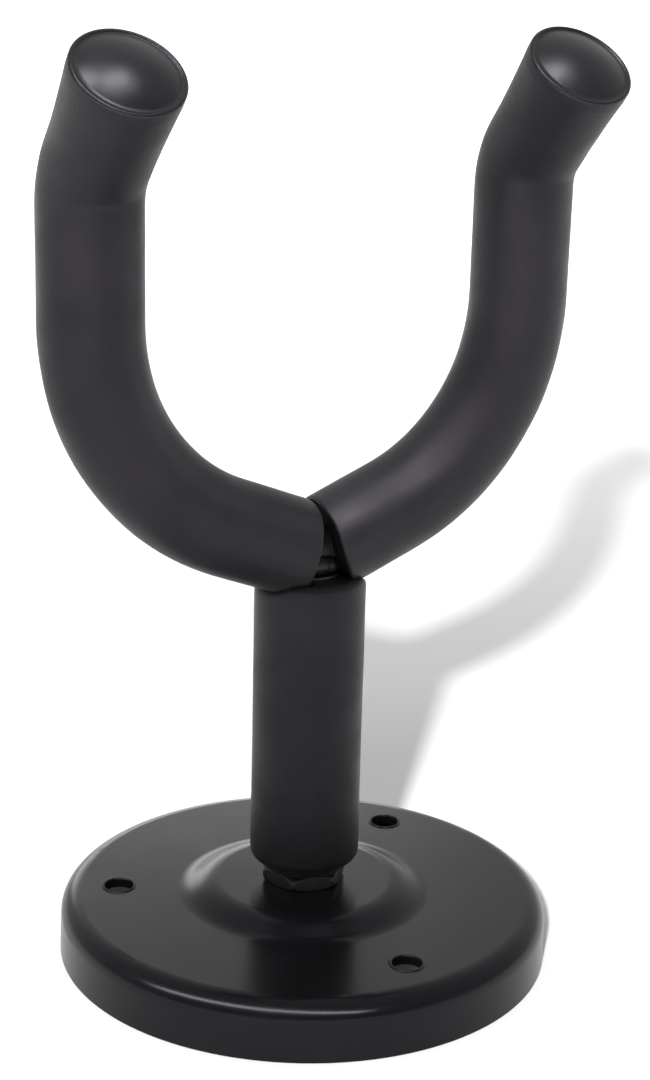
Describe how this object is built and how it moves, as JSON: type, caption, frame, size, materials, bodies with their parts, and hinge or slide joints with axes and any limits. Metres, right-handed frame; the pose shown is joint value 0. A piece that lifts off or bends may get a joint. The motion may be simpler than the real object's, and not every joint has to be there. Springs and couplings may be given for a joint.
{
  "type": "wall guitar hanger",
  "caption": "Wall hanger for a guitar: a padded two-armed yoke that swivels on a stem from a round wall plate with screw holes.",
  "frame": {"origin": "centre of the wall plate's wall face, on the stem's axis", "axes": "+Z out from the wall along the stem, X across the yoke from its left arm to its right, -Y the way the arm tips lean"},
  "size_m": [0.098, 0.0856, 0.1579],
  "materials": {
    "plate_paint": "satin black paint on pressed steel",
    "bar_paint": "semi-gloss black paint on steel bar",
    "black_nut": "black oxide",
    "rear_fixings": "bright zinc plated",
    "foam": "matt closed-cell foam rubber",
    "cap_rubber": "smooth satin moulded rubber"
  },
  "bodies": {
    "base": {"base_plate": "plate_paint", "rear_washer": "rear_fixings"},
    "yoke": {"stem_rod": "bar_paint", "yoke_rod": "bar_paint", "stem_weld": "bar_paint", "jam_nut": "black_nut", "spring_washer": "rear_fixings", "lock_nut": "rear_fixings", "stem_sleeve": "foam", "left_arm_sleeve": "foam", "right_arm_sleeve": "foam", "left_tip_cap": "cap_rubber", "right_tip_cap": "cap_rubber"}
  },
  "joints": [
    {"name": "yoke_swivel", "type": "hinge", "parent": "base", "child": "yoke", "pos_m": [0, 0, 0.012], "axis": [0, 0, 1], "continuous": true}
  ]
}
